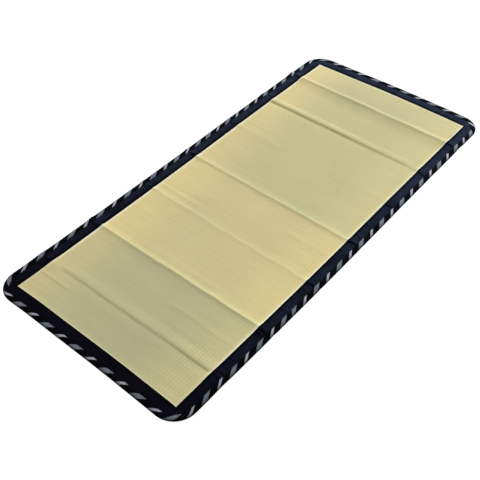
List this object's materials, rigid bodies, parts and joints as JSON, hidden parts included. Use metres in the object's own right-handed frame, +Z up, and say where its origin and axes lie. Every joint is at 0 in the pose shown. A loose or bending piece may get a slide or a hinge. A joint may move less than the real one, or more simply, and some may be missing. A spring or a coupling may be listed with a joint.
{
  "type": "rush sleeping mat",
  "caption": "Single rush sleeping mat, lying open: a woven rush sheet bound by a navy cloth border, with a striped bias tape round its rounded rim and low fold ridges across it.",
  "frame": {"origin": "on the floor, under the middle of the mat", "axes": "+X across the mat, +Y along it, +Z up, away from the floor"},
  "size_m": [0.9052, 1.95, 0.0126],
  "materials": {
    "rush": "woven rush, dry, with a faint sheen along the stalks",
    "border_cloth": "plain woven navy cotton, matte",
    "striped_tape": "bias-cut woven tape, near black with grey stripes"
  },
  "bodies": {
    "root": {"rush_panel": "rush", "border_right": "border_cloth", "border_far": "border_cloth", "border_left": "border_cloth", "border_near": "border_cloth", "tape_far_length": "striped_tape", "tape_near_length": "striped_tape"}
  },
  "joints": []
}
